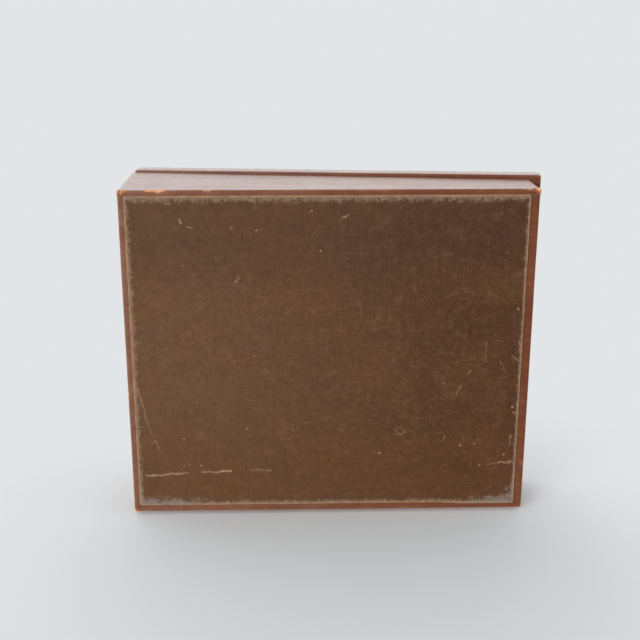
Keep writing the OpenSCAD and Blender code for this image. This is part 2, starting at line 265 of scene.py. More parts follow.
def body_cover():
    """One skin of leather round the walls, over the rim and turned in under the base."""
    wall = body_hi.x - room_hi.x
    turn_in = card_lo.x - body_lo.x
    edge = 0.8 * MM
    corner = 1.3 * MM
    rows = []

    def row(inset, height):
        points = outline(body_lo, body_hi, corner, inset)
        rows.append([Vector((p.x, p.y, height(p.y))) for p in points])

    def below_rim(drop):
        return lambda y: rim_height(y) - drop

    def above_base(rise):
        return lambda y: body_lo.z + rise

    def share(part):
        return lambda y: (body_lo.z + edge) * (1 - part) + (rim_height(y) - edge) * part

    row(wall, below_rim(LEATHER))
    row(wall, below_rim(0.4 * LEATHER))
    row(wall - 0.4 * MM, below_rim(0))
    for inset in steps(wall - 1.5 * MM, edge + 1 * MM, 3):
        row(inset, below_rim(0))
    for inset, drop in reversed(rounded(edge)):
        row(inset, below_rim(drop))
    for part in steps(0.96, 0.04, 18):
        row(0, share(part))
    for inset, rise in rounded(edge):
        row(inset, above_base(rise))
    for inset in steps(2.4 * MM, turn_in, 6):
        row(inset, above_base(0))
    row(turn_in, above_base(LEATHER))
    row(LEATHER, above_base(LEATHER))
    row(LEATHER, below_rim(LEATHER))
    cover = loft("body_cover", rows, closed=True)

    def hand_made(point):
        faces = body_faces(point)
        inside_walls = min(abs(d) for d in faces[:4]) > 0.5 * LEATHER
        if inside_walls and faces[4] > 0.5 * LEATHER and abs(faces[5]) > 0.5 * LEATHER:
            return 0.0
        bulge = sum(BRUISE * strength * (1 - smooth(0, radius, (point - place).length))
                    for place, radius, strength in bruised_corners)
        return ripple(point, 45 * MM, 0.16 * MM) + ripple(point, 9 * MM, 0.05 * MM) + bulge

    push_out(cover, hand_made)
    paint(cover, "wear", lambda p: wear_at(p, body_faces(p)))
    # This layer holds painted shade for the seam between case and lid
    paint(cover, "seam_shade", lambda p: seam_shade_at(body_faces(p)))
    leaf_boxes = [tuple(rim_box(side + "_hinge_body_leaf")) for side in ("left", "right")]
    cut(cover, [(lo - LEAF_SLACK, hi + LEAF_SLACK + LEAF_OPEN) for lo, hi in leaf_boxes])
    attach(cover, "case")
    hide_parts("body_leather")
    return cover


# The lid is fitted by hand: against its CAD width it is this share wider at the case's front,
# and loses this share from there to the hinge end
LID_WIDER = 0.0038
LID_TAPER = 0.0107


def lid_cover():
    """One skin of leather over the lid, turned in round its underside."""
    edge = 0.75 * MM
    corner = 1.5 * MM
    turn_in = lining_lo.x - lid_lo.x
    half = (lid_hi.x - lid_lo.x) / 2
    rows = []

    def row(inset, height):
        points = outline(lid_lo, lid_hi, corner, inset)
        rows.append([RIM @ Vector((p.x, p.y, height)) for p in points])

    inner_top = lid_hi.z - LEATHER
    inner_low = lid_lo.z + LEATHER
    # Insets of the rings on the top, closer together towards the sides
    spread = [half - 4 * MM, 100 * MM, 75 * MM, 55 * MM, 38 * MM, 26 * MM, 18 * MM, 12 * MM, 8 * MM,
              5.5 * MM, 3.6 * MM]
    row(spread[0], inner_top)
    row(LEATHER, inner_top)
    row(LEATHER, inner_low)
    row(turn_in, inner_low)
    for inset in steps(turn_in, 2.6 * MM, 4):
        row(inset, lid_lo.z)
    for inset, rise in reversed(rounded(edge)):
        row(inset, lid_lo.z + rise)
    for height in steps(lid_lo.z + 2.2 * MM, lid_hi.z - 2.2 * MM, 5):
        row(0, height)
    for inset, drop in rounded(edge):
        row(inset, lid_hi.z - drop)
    for inset in reversed(spread):
        row(inset, lid_hi.z)
    cover = loft("lid_cover", rows, closed=False)

    def hand_made(point):
        if min(abs(d) for d in lid_faces(point)) >= 0.5 * LEATHER:
            return 0.0
        return ripple(point, 60 * MM, 0.14 * MM) + ripple(point, 11 * MM, 0.04 * MM)

    for v in cover.data.vertices:
        share = (v.co.y - body_lo.y) / (body_hi.y - body_lo.y)
        v.co.x *= 1 + LID_WIDER - LID_TAPER * share
    push_out(cover, hand_made)
    paint(cover, "wear", lambda p: wear_at(p, lid_faces(p)))
    # This layer holds painted shade for the seam between lid and case
    paint(cover, "seam_shade", lambda p: seam_shade_at(lid_faces(p)))
    leaf_boxes = [tuple(rim_box(side + "_hinge_lid_leaf")) for side in ("left", "right")]
    cut(cover, [(lo - LEAF_SLACK - LEAF_OPEN, hi + LEAF_SLACK) for lo, hi in leaf_boxes])
    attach(cover, "lid")
    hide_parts("lid_leather")
    return cover


# The felt is cut this much short along its right side. Towards the front that fades out,
# between these two depths, and into the pad it fades out over this width
SHORT_CUT = 1.2 * MM
SHORT_REACH = (-115 * MM, -75 * MM)
SHORT_FADE = 15 * MM


def felt_pad():
    """The felt that the case stands on: hand-cut edges, slightly soft and uneven."""
    thick = felt_hi.z - felt_lo.z
    corner = 1.2 * MM
    half = (felt_hi.x - felt_lo.x) / 2
    rows = []

    def row(inset, height):
        rows.append([Vector((p.x, p.y, height)) for p in outline(felt_lo, felt_hi, corner, inset)])

    # Insets of the rings on the underside, closer together towards the sides
    spread = [3 * MM * 1.32 ** i for i in range(14)] + [half - 4 * MM]
    row(spread[-1], felt_hi.z)
    row(0.15 * MM, felt_hi.z)
    row(0, felt_hi.z - 0.3 * thick)
    for inset, rise in rounded(0.6 * thick, 3):
        row(inset, felt_lo.z + rise)
    for inset in [1 * MM, 1.8 * MM, *spread]:
        row(inset, felt_lo.z)
    pad = loft("felt_pad", rows, closed=False)
    for v in pad.data.vertices:
        short = SHORT_CUT * smooth(*SHORT_REACH, v.co.y)
        v.co.x -= short * (1 - smooth(0, SHORT_FADE, felt_hi.x - v.co.x))
        from_side = min(v.co.x - felt_lo.x, felt_hi.x - v.co.x, v.co.y - felt_lo.y, felt_hi.y - v.co.y)
        if from_side < 1.5 * MM:
            wave = ripple(v.co, 23 * MM, 0.35 * MM) + ripple(v.co, 2.6 * MM, 0.16 * MM)
            v.co += Vector((math.copysign(wave, v.co.x), math.copysign(wave, v.co.y), 0))
        if v.co.z < felt_lo.z + 0.5 * thick:
            v.co.z += abs(ripple(v.co, 30 * MM, 0.12 * MM)) + abs(ripple(v.co, 3 * MM, 0.05 * MM))
    pad.data.update()
    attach(pad, "case")
    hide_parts("base_felt")
    return pad


# ---------------------------------------------------------------- material making


NEARLY_ZERO = 1e-9


class Paint:
    """A Principled material and short calls for the nodes that feed it."""

    def __init__(self, name):
        self.material = bpy.data.materials.new(name)
        self.material.use_nodes = True
        self.tree = self.material.node_tree
        self.shader = self.tree.nodes["Principled BSDF"]
        self.place = self.add("ShaderNodeTexCoord").outputs["Object"]

    def add(self, kind, **settings):
        node = self.tree.nodes.new(kind)
        for key, value in settings.items():
            setattr(node, key, value)
        return node

    def feed(self, socket, value):
        if isinstance(value, bpy.types.NodeSocket):
            self.tree.links.new(value, socket)
        else:
            socket.default_value = value

    def math(self, operation, a, b=0.0, clamp=False):
        node = self.add("ShaderNodeMath", operation=operation, use_clamp=clamp)
        self.feed(node.inputs[0], a)
        self.feed(node.inputs[1], b)
        return node.outputs[0]

    def vector(self, operation, a, b=(0, 0, 0), scale=None):
        node = self.add("ShaderNodeVectorMath", operation=operation)
        self.feed(node.inputs[0], a)
        self.feed(node.inputs[1], b)
        if scale is not None:
            self.feed(node.inputs["Scale"], scale)
        return node.outputs["Value" if operation in ("DOT_PRODUCT", "LENGTH") else "Vector"]

    def noise(self, size, detail, rough, warp=0.0, stretch=None):
        """Noise with features of about size metres, from 0 to 1."""
        place = self.place
        if stretch is not None:
            place = self.vector("MULTIPLY", place, stretch)
        node = self.add("ShaderNodeTexNoise")
        self.feed(node.inputs["Vector"], place)
        node.inputs["Scale"].default_value = 1 / size
        node.inputs["Detail"].default_value = detail
        node.inputs["Roughness"].default_value = rough
        node.inputs["Distortion"].default_value = warp
        return node.outputs["Fac"]

    def cells(self, size, feature="F1"):
        """Distances in a pattern of cells about size metres wide."""
        node = self.add("ShaderNodeTexVoronoi", feature=feature)
        self.feed(node.inputs["Vector"], self.place)
        node.inputs["Scale"].default_value = 1 / size
        return node.outputs["Distance"]

    def step(self, value, low, high, to_low=0.0, to_high=1.0):
        """Smooth step of value between low and high."""
        node = self.add("ShaderNodeMapRange", interpolation_type="SMOOTHSTEP")
        for key, v in zip(("Value", "From Min", "From Max", "To Min", "To Max"),
                          (value, low, high, to_low, to_high)):
            self.feed(node.inputs[key], v)
        return node.outputs["Result"]

    def mix(self, share, a, b):
        """Colour a where share is 0 and colour b where it is 1."""
        node = self.add("ShaderNodeMix", data_type="RGBA")
        self.feed(node.inputs[0], share)
        self.feed(node.inputs[6], a if isinstance(a, bpy.types.NodeSocket) else (*a, 1))
        self.feed(node.inputs[7], b if isinstance(b, bpy.types.NodeSocket) else (*b, 1))
        return node.outputs[2]

    def axis(self, index):
        """The x, y or z of the place, for index 0, 1 or 2."""
        node = self.add("ShaderNodeSeparateXYZ")
        self.feed(node.inputs[0], self.place)
        return node.outputs[index]

    def attribute(self, name):
        return self.add("ShaderNodeAttribute", attribute_name=name).outputs["Fac"]

    def bump(self, height, depth, under=None):
        """A bump that is depth metres high where height is 1."""
        node = self.add("ShaderNodeBump")
        node.inputs["Strength"].default_value = 1.0
        node.inputs["Distance"].default_value = depth
        self.feed(node.inputs["Height"], height)
        if under is not None:
            self.feed(node.inputs["Normal"], under)
        return node.outputs["Normal"]

    def wander(self, size, amount):
        """The place on the base, shifted sideways by up to amount metres."""
        node = self.add("ShaderNodeTexNoise")
        self.feed(node.inputs["Vector"], self.place)
        node.inputs["Scale"].default_value = 1 / size
        node.inputs["Detail"].default_value = 2.0
        shift = self.vector("SUBTRACT", node.outputs["Color"], (0.5, 0.5, 0.5))
        moved = self.vector("ADD", self.place, self.vector("SCALE", shift, scale=2 * amount))
        return self.vector("MULTIPLY", moved, (1, 1, 0))

    def stroke(self, place, start, end, width, soft):
        """1 on a line from start to end on the base, fading out over soft metres.

        The line is a round spot where start and end are the same.
        """
        run = Vector((end[0] - start[0], end[1] - start[1], 0))
        from_start = self.vector("SUBTRACT", place, (start[0], start[1], 0))
        along = self.math("DIVIDE", self.vector("DOT_PRODUCT", from_start, tuple(run)),
                          max(run.length_squared, NEARLY_ZERO), clamp=True)
        foot = self.vector("SCALE", tuple(run), scale=along)
        gap = self.vector("LENGTH", self.vector("SUBTRACT", from_start, foot))
        return self.step(gap, width / 2, width / 2 + soft, 1.0, 0.0)

    def any_of(self, masks):
        """The highest of the masks at each place."""
        total = masks[0]
        for mask in masks[1:]:
            total = self.math("MAXIMUM", total, mask)
        return total

    def use(self, color, rough, normal, **fixed):
        """Feeds the shader, sets its other sockets to fixed values, and gives the material."""
        self.feed(self.shader.inputs["Base Color"], color)
        self.feed(self.shader.inputs["Roughness"], rough)
        self.feed(self.shader.inputs["Normal"], normal)
        for key, value in fixed.items():
            self.shader.inputs[key.replace("_", " ")].default_value = value
        return self.material


def srgb(r, g, b):
    """A colour given in 0-255 screen values."""
    return tuple((c / 255 / 12.92) if c / 255 <= 0.04045 else ((c / 255 + 0.055) / 1.055) ** 2.4
                 for c in (r, g, b))


# ---------------------------------------------------------------- materials


def corner_creases(p, under):
    """1 in the creases where the folded corners of the turned-in leather meet under the base.

    The case is centred on the frame's origin. under is 1 on the underside of the leather.
    """
    in_x = p.math("SUBTRACT", body_hi.x, p.math("ABSOLUTE", p.axis(0)))
    in_y = p.math("SUBTRACT", body_hi.y, p.math("ABSOLUTE", p.axis(1)))
    bent = p.math("MULTIPLY", p.math("SUBTRACT", p.noise(3 * MM, 3, 0.6), 0.5), 1.6 * MM)
    off_line = p.math("ABSOLUTE", p.math("ADD", p.math("SUBTRACT", in_x, in_y), bent))
    return p.math("MULTIPLY", p.step(off_line, 0.1 * MM, 0.6 * MM, 1.0, 0.0), under)


def worn_leather(p, color):
    """The colour with its rubbed, flaked and frayed places, and the mask of the flakes."""
    wear = p.attribute("wear")
    rubbed = p.math("MULTIPLY", wear, p.noise(6 * MM, 4, 0.65, 0.6))
    color = p.mix(p.step(rubbed, 0.14, 0.42, 0.0, 0.5), color, srgb(156, 98, 64))
    flaked = p.math("MULTIPLY", wear, p.noise(2.6 * MM, 4, 0.75, 1.2))
    fibre = p.mix(p.noise(0.9 * MM, 3, 0.7), srgb(196, 108, 42), srgb(240, 178, 112))
    flake = p.step(flaked, 0.48, 0.54)
    color = p.mix(flake, color, fibre)
    frayed = p.step(p.math("MULTIPLY", wear, p.noise(0.8 * MM, 3, 0.7)), 0.74, 0.82)
    return p.mix(frayed, color, srgb(244, 226, 200)), flake


def leather_material():
    """Smooth reddish-brown hide, rubbed lighter and chipped to orange fibre at the edges."""
    p = Paint("brown_leather")
    color = p.mix(p.step(p.noise(55 * MM, 3, 0.5, 0.4), 0.3, 0.7), srgb(108, 57, 31), srgb(122, 68, 39))
    color = p.mix(p.step(p.noise(9 * MM, 4, 0.6, 0.5), 0.45, 0.8, 0.0, 0.35), color, srgb(92, 48, 32))
    color = p.mix(p.step(p.noise(16 * MM, 3, 0.6, 0.8), 0.55, 0.8, 0.0, 0.3), color, srgb(142, 86, 56))

    # Grain: small plump cells between dark creases
    cells = p.cells(1.1 * MM, "DISTANCE_TO_EDGE")
    pores = p.cells(0.6 * MM)
    color = p.mix(p.step(cells, 0.0, 0.10, 0.22, 0.0), color, srgb(66, 34, 24))

    # Long fine scratches in two directions, rubbed streaks along the length, and painted shade in the seam
    for stretch, amount in (((1.0, 0.02, 1.0), 0.30), ((0.04, 1.0, 0.7), 0.2)):
        hair = p.noise(1.4 * MM, 2, 0.5, stretch=stretch)
        color = p.mix(p.step(hair, 0.62, 0.78, 0.0, amount), color, srgb(160, 112, 84))
    streaks = p.noise(5 * MM, 3, 0.6, stretch=(1.0, 0.1, 1.0))
    color = p.mix(p.step(streaks, 0.45, 0.75, 0.0, 0.22), color, srgb(150, 98, 70))
    # Painted shade: the seam between case and lid is darkened towards red-brown
    color = p.mix(p.math("MULTIPLY", p.attribute("seam_shade"), 0.15), color, srgb(84, 38, 34))

    # The border under the base is paler in scuffed patches, partly real scuffing and partly a painted
    # sheen that grows towards the hinge end, and creased at its corners
    under = p.step(p.axis(2), body_lo.z + 0.7 * MM, body_lo.z + 1.4 * MM, 1.0, 0.0)
    scuffs_and_sheen = p.math("MULTIPLY", under, p.step(p.noise(10 * MM, 4, 0.65), 0.35, 0.65, 0.1, 0.36))
    # Painted sheen: the pale patches grow from nothing at the front to full strength at the hinge end
    scuffs_and_sheen = p.math("MULTIPLY", scuffs_and_sheen, p.step(p.axis(1), body_lo.y, body_hi.y, 0.0, 1.0))
    color = p.mix(scuffs_and_sheen, color, srgb(156, 116, 92))
    crease = corner_creases(p, under)
    color = p.mix(p.math("MULTIPLY", crease, 0.4), color, srgb(54, 28, 22))
    color, flake = worn_leather(p, color)

    rough = p.step(p.noise(5 * MM, 4, 0.6), 0.2, 0.8, 0.30, 0.38)
    rough = p.math("ADD", rough, p.step(streaks, 0.3, 0.8, 0.0, 0.08))
    rough = p.math("ADD", rough, p.math("MULTIPLY", flake, 0.35))
    grain = p.math("ADD", p.math("MULTIPLY", p.step(cells, 0.0, 0.25), 0.7),
                   p.math("MULTIPLY", p.step(pores, 0.1, 0.5), 0.3))
    normal = p.bump(grain, 0.035 * MM)
    normal = p.bump(p.noise(7 * MM, 3, 0.5), 0.03 * MM, normal)
    normal = p.bump(p.math("SUBTRACT", 1.0, p.any_of([flake, crease])), 0.25 * MM, normal)
    return p.use(color, rough, normal, IOR=1.5, Coat_Weight=0.12, Coat_Roughness=0.3)


# Marks on the felt. Places are shares of the pad: first from the back edge to the front,
# then from the left edge to the right. Then the width of a scratch or a speck, or the radius of
# a ring, in millimetres, and a strength.
FELT_SCRATCHES = [
    ((0.022, 0.892), (0.075, 0.888), 2.0, 0.75), ((0.075, 0.888), (0.128, 0.883), 1.7, 0.8),
    ((0.170, 0.881), (0.210, 0.881), 1.4, 0.7), ((0.210, 0.881), (0.246, 0.876), 2.2, 0.85),
    ((0.294, 0.875), (0.350, 0.876), 1.2, 0.35), ((0.010, 0.600), (0.034, 0.722), 0.5, 0.4),
    ((0.047, 0.768), (0.038, 0.792), 0.7, 0.3), ((0.047, 0.768), (0.058, 0.800), 0.7, 0.3),
    ((0.034, 0.722), (0.047, 0.768), 0.5, 0.22), ((0.920, 0.863), (0.950, 0.858), 0.9, 0.35),
    ((0.950, 0.858), (0.985, 0.856), 1.2, 0.6), ((0.985, 0.856), (0.978, 0.863), 0.9, 0.5),
    ((0.984, 0.760), (0.982, 0.796), 1.2, 0.45), ((0.807, 0.765), (0.802, 0.782), 1.2, 0.4),
    ((0.534, 0.066), (0.550, 0.060), 0.9, 0.8), ((0.135, 0.071), (0.140, 0.081), 0.6, 0.8),
    ((0.153, 0.091), (0.165, 0.094), 0.5, 0.5), ((0.256, 0.090), (0.264, 0.098), 0.7, 0.5),
    ((0.268, 0.262), (0.276, 0.246), 0.5, 0.45), ((0.834, 0.628), (0.847, 0.597), 0.6, 0.3),
    ((0.869, 0.546), (0.863, 0.558), 0.6, 0.4), ((0.907, 0.453), (0.905, 0.518), 0.5, 0.25),
    ((0.947, 0.518), (0.959, 0.554), 0.6, 0.3), ((0.977, 0.503), (0.998, 0.518), 0.6, 0.4),
]
FELT_SPECKS = [
    ((0.163, 0.235), 0.5, 0.35), ((0.139, 0.208), 0.6, 0.35), ((0.324, 0.101), 0.8, 0.7),
    ((0.459, 0.045), 0.7, 0.6), ((0.481, 0.166), 0.9, 0.6), ((0.428, 0.160), 0.7, 0.4),
    ((0.063, 0.115), 0.5, 0.3), ((0.8515, 0.797), 1.4, 0.5), ((0.887, 0.792), 0.9, 0.5),
    ((0.967, 0.829), 0.9, 0.7), ((0.904, 0.866), 0.9, 0.4), ((0.637, 0.820), 1.0, 0.5),
    ((0.290, 0.734), 0.6, 0.9), ((0.125, 0.765), 1.1, 0.4), ((0.167, 0.858), 1.2, 0.5),
    ((0.138, 0.857), 0.9, 0.35), ((0.122, 0.859), 0.8, 0.3), ((0.262, 0.512), 0.6, 0.3),
    ((0.947, 0.175), 0.7, 0.4), ((0.802, 0.588), 0.7, 0.3), ((0.982, 0.350), 0.9, 0.7),
    ((0.982, 0.668), 1.4, 0.5), ((0.986, 0.688), 1.0, 0.5), ((0.410, 0.740), 0.8, 0.4),
]
FELT_RINGS = [((0.690, 0.746), 3.2, 0.34), ((0.714, 0.764), 4.6, 0.12)]


def on_felt(place):
    """The point on the base at a pair of shares of the pad."""
    return (felt_lo.x + place[1] * (felt_hi.x - felt_lo.x),
            felt_hi.y - place[0] * (felt_hi.y - felt_lo.y))


def thin_out(p, distance, reach):
    """1 at a side, falling evenly to 0 at reach from it and below 0 beyond."""
    return p.math("SUBTRACT", 1.0, p.math("DIVIDE", distance, reach))


def corner_patch(p, along, up, length, height):
    """Like thin_out, for a long low patch in a corner."""
    round_a = p.math("POWER", p.math("DIVIDE", along, length), 2.0)
    round_b = p.math("POWER", p.math("DIVIDE", up, height), 2.0)
    return p.math("SUBTRACT", 1.2, p.math("SQRT", p.math("ADD", round_a, round_b)))


def corner_hug(p, first, second, reach):
    """Like thin_out, for a corner patch whose outline curves in to hug both sides."""
    soft = 2.5 * MM
    product = p.math("MULTIPLY", p.math("ADD", first, soft), p.math("ADD", second, soft))
    return p.math("SUBTRACT", 1.15, p.math("DIVIDE", product, soft * (soft + reach)))


def felt_ground(p, left, right):
    """The felt's colour, cloudy, brushed and linty, with painted light that brightens it towards the hinge
    end, and its fibre.

    left, right, front and back are the distances from the pad's sides, here and below.
    """
    # Painted light: the felt is brighter towards the hinge end and darker towards the front
    color = p.mix(p.step(p.axis(1), felt_lo.y, felt_hi.y), srgb(72, 43, 22), srgb(106, 77, 55))
    color = p.mix(p.step(p.noise(50 * MM, 3, 0.55, 0.6), 0.3, 0.7, 0.0, 0.4), color, srgb(108, 70, 40))
    color = p.mix(p.step(p.noise(14 * MM, 4, 0.65, 0.4), 0.45, 0.75, 0.0, 0.40), color, srgb(76, 52, 40))
    rubbed = p.noise(9 * MM, 4, 0.7, 0.8, stretch=(1.0, 0.6, 1.0))
    color = p.mix(p.step(rubbed, 0.52, 0.78, 0.0, 0.35), color, srgb(136, 104, 80))
    for stretch in ((1.0, 0.45, 1.0), (0.45, 1.0, 1.0)):
        brushed = p.noise(3.6 * MM, 4, 0.7, 0.3, stretch=stretch)
        color = p.mix(p.step(brushed, 0.5, 0.78, 0.0, 0.38), color, srgb(128, 94, 64))
        color = p.mix(p.step(brushed, 0.5, 0.22, 0.0, 0.38), color, srgb(60, 40, 28))
    fibre = p.noise(0.9 * MM, 3, 0.7)
    color = p.mix(p.step(fibre, 0.5, 0.72, 0.0, 0.42), color, srgb(142, 106, 76))
    color = p.mix(p.step(fibre, 0.5, 0.28, 0.0, 0.42), color, srgb(46, 32, 24))

    # Painted shade, cooler and darker, along the left side, and painted warm bounce light along the right,
    # with flecks of lint
    color = p.mix(p.step(left, 35 * MM, 85 * MM, 0.28, 0.0), color, srgb(64, 46, 40))
    # Painted warm bounce light along the right side
    color = p.mix(p.step(right, 0.0, 120 * MM, 0.33, 0.0), color, srgb(90, 54, 20))
    lint = p.noise(1.7 * MM, 2, 0.5, 1.5)
    return p.mix(p.step(lint, 0.70, 0.80, 0.0, 0.5), color, srgb(176, 150, 126)), fibre


def dusty_border(p, color, left, right, front, back):
    """The colour with dust in the border: tan along the sides, grey and thick in the corners."""
    ragged = p.math("MULTIPLY", p.math("SUBTRACT", p.noise(5 * MM, 5, 0.8, 0.6), 0.5), 2.4)
    speckle = p.step(p.noise(1.6 * MM, 5, 0.8), 0.36, 0.62, 0.35, 1.0)
    sides = [thin_out(p, left, 7.6 * MM), thin_out(p, right, 5.2 * MM),
             thin_out(p, back, 5.4 * MM), thin_out(p, front, 3.8 * MM)]
    corners = [corner_patch(p, back, right, 74 * MM, 9.0 * MM), corner_hug(p, back, right, 36 * MM),
               corner_patch(p, front, right, 54 * MM, 9.5 * MM), corner_hug(p, front, right, 60 * MM),
               corner_hug(p, back, left, 12 * MM), corner_hug(p, front, left, 7 * MM)]
    tan = p.mix(p.noise(9 * MM, 3, 0.6), srgb(132, 110, 93), srgb(168, 140, 116))
    grey = p.mix(p.noise(6 * MM, 3, 0.6), srgb(130, 112, 94), srgb(146, 142, 138))
    for masks, tone, strength in ((sides, tan, 0.85), (corners, grey, 0.88)):
        cover = p.step(p.math("ADD", p.any_of(masks), ragged), 0.25, 0.8, 0.0, strength)
        color = p.mix(p.math("MULTIPLY", cover, speckle), color, tone)

    # The cut edge shows paler fibre
    nearest = p.math("MINIMUM", p.math("MINIMUM", left, right), p.math("MINIMUM", front, back))
    nearest = p.math("ADD", nearest, p.math("MULTIPLY", ragged, 0.4 * MM))
    edge = p.step(nearest, 0.4 * MM, 1.7 * MM, 1.0, 0.0)
    edge = p.math("MULTIPLY", edge, p.step(p.noise(6 * MM, 4, 0.65), 0.35, 0.6, 0.15, 0.7))
    return p.mix(edge, color, srgb(172, 138, 104))


SCRATCH_CORE = 0.3          # share of a scratch's width that is at full strength
SCRATCH_SOFT = 0.9 * MM     # and the width over which it fades out on each side of that
SPECK_SOFT = 0.5 * MM


def felt_marks(p):
    """Scratches, specks and ring marks, on a place that wavers so that no line is ruled."""
    wavy = p.wander(4 * MM, 1.6 * MM)
    broken = p.step(p.noise(2.0 * MM, 4, 0.75, 0.6), 0.36, 0.62, 0.1, 1.0)
    marks = []
    for start, end, width, strength in FELT_SCRATCHES:
        line = p.stroke(wavy, on_felt(start), on_felt(end), width * MM * SCRATCH_CORE, SCRATCH_SOFT)
        marks.append(p.math("MULTIPLY", p.math("MULTIPLY", line, broken), strength))
    for place, width, strength in FELT_SPECKS:
        spot = p.stroke(wavy, on_felt(place), on_felt(place), width * MM, SPECK_SOFT)
        marks.append(p.math("MULTIPLY", spot, strength))
    for place, radius, strength in FELT_RINGS:
        gap = p.vector("LENGTH", p.vector("SUBTRACT", wavy, (*on_felt(place), 0)))
        ring = p.math("ABSOLUTE", p.math("SUBTRACT", gap, radius * MM))
        marks.append(p.math("MULTIPLY", p.step(ring, 0.1 * MM, 0.9 * MM, strength, 0.0), broken))
    return p.any_of(marks)


def felt_material():
    """Dense brown felt, dusty along its border, with old scratches and lint."""
    p = Paint("base_felt")
    x, y = p.axis(0), p.axis(1)
    short = p.step(y, *SHORT_REACH, 0.0, SHORT_CUT)
    left = p.math("SUBTRACT", x, felt_lo.x)
    right = p.math("SUBTRACT", p.math("SUBTRACT", felt_hi.x, x), short)
    front, back = p.math("SUBTRACT", y, felt_lo.y), p.math("SUBTRACT", felt_hi.y, y)
    color, fibre = felt_ground(p, left, right)
    color = dusty_border(p, color, left, right, front, back)
    color = p.mix(felt_marks(p), color, srgb(190, 154, 128))
    nap = p.math("ADD", p.math("MULTIPLY", fibre, 0.7), p.math("MULTIPLY", p.noise(2.2 * MM, 3, 0.6), 0.3))
    normal = p.bump(nap, 0.3 * MM)
    normal = p.bump(p.noise(16 * MM, 3, 0.5), 0.25 * MM, normal)
    return p.use(color, 0.95, normal, Sheen_Weight=0.15, Sheen_Roughness=0.5, Specular_IOR_Level=0.15)


def suede_material():
    """Tan suede with a short brushed nap."""
    p = Paint("suede")
    nap = p.noise(0.6 * MM, 4, 0.75)
    brushed = p.noise(30 * MM, 3, 0.5, 0.3)
    color = p.mix(p.step(brushed, 0.3, 0.7), srgb(154, 115, 80), srgb(168, 130, 94))
    color = p.mix(p.step(p.noise(4 * MM, 4, 0.7), 0.5, 0.8, 0.0, 0.3), color, srgb(136, 98, 66))
    color = p.mix(p.step(nap, 0.4, 0.75, 0.0, 0.3), color, srgb(104, 74, 50))
    return p.use(color, 0.9, p.bump(nap, 0.12 * MM), Sheen_Weight=0.4, Specular_IOR_Level=0.2)


BOARD_CELLS = 10
BOARD_PITCH = 19 * MM


def board_material(name, low, high):
    """Dark hide with gilt grid lines, over a board whose place in the rim's frame is low to high."""
    p = Paint(name)
    half = BOARD_CELLS / 2 * BOARD_PITCH
    groove = 0.8 * MM
    mid_y = (low.y + high.y) / 2
    tilt = p.add("ShaderNodeMapping", vector_type="POINT")
    back = RIM.inverted()
    tilt.inputs["Rotation"].default_value = back.to_euler()
    tilt.inputs["Location"].default_value = back.translation - Vector((0, mid_y, 0))
    p.feed(tilt.inputs["Vector"], p.place)
    flat = p.add("ShaderNodeSeparateXYZ")
    p.feed(flat.inputs[0], tilt.outputs[0])
    across, along = flat.outputs[0], flat.outputs[1]
    lines = []
    for one, other in ((across, along), (along, across)):
        folded = p.math("PINGPONG", p.math("ADD", one, half), BOARD_PITCH / 2)
        line = p.step(folded, groove / 2, groove / 2 + 0.05 * MM, 1.0, 0.0)
        edge = half + groove / 2
        inside = p.math("MULTIPLY", p.math("LESS_THAN", p.math("ABSOLUTE", one), edge),
                        p.math("LESS_THAN", p.math("ABSOLUTE", other), edge))
        lines.append(p.math("MULTIPLY", line, inside))
    gilt = p.math("MULTIPLY", p.any_of(lines), p.step(p.noise(3 * MM, 4, 0.7), 0.25, 0.45, 0.4, 1.0))
    cloud = p.noise(25 * MM, 4, 0.55)
    hide = p.mix(p.step(cloud, 0.3, 0.7), srgb(24, 44, 48), srgb(34, 60, 62))
    creases = p.cells(1.1 * MM, "DISTANCE_TO_EDGE")
    hide = p.mix(p.step(creases, 0.0, 0.12, 0.35, 0.0), hide, srgb(12, 22, 24))
    color = p.mix(gilt, hide, srgb(212, 172, 96))
    p.feed(p.shader.inputs["Metallic"], gilt)
    rough = p.step(p.noise(4 * MM, 3, 0.6), 0.2, 0.8, 0.36, 0.52)
    return p.use(color, rough, p.bump(p.step(creases, 0.0, 0.2), 0.03 * MM), IOR=1.5)


def wood_material(name, pale, dark, grain, rough):
    """Straight-grained wood; grain is the axis along which it runs, as a stretch of space."""
    p = Paint(name)
    rings = p.noise(5 * MM, 3, 0.55, 0.8, stretch=grain)
    fine = p.noise(0.9 * MM, 3, 0.6, stretch=grain)
    color = p.mix(p.step(rings, 0.3, 0.7), dark, pale)
    color = p.mix(p.step(fine, 0.4, 0.7, 0.0, 0.35), color, tuple(0.6 * c for c in dark))
    normal = p.bump(fine, 0.06 * MM)
    return p.use(color, p.step(rings, 0.2, 0.8, rough, rough + 0.12), normal)


def brass_material():
    """Brushed brass, dulled in patches."""
    p = Paint("brass")
    brushed = p.noise(0.5 * MM, 3, 0.6, stretch=(0.03, 1, 1))
    tarnish = p.noise(6 * MM, 4, 0.65, 0.5)
    color = p.mix(p.step(tarnish, 0.45, 0.8, 0.0, 0.6), srgb(206, 164, 88), srgb(128, 92, 46))
    rough = p.math("ADD", p.step(tarnish, 0.3, 0.8, 0.2, 0.42), p.math("MULTIPLY", brushed, 0.1))
    return p.use(color, rough, p.bump(brushed, 0.02 * MM), Metallic=1.0)


def pewter_material():
    """Cast pewter, slightly pitted."""
    p = Paint("pewter")
    cast = p.noise(1.6 * MM, 4, 0.65)
    cloud = p.noise(9 * MM, 3, 0.6)
    color = p.mix(p.step(cloud, 0.35, 0.75), srgb(196, 197, 196), srgb(158, 160, 161))
    return p.use(color, p.step(cast, 0.25, 0.75, 0.36, 0.5), p.bump(cast, 0.05 * MM), Metallic=1.0)


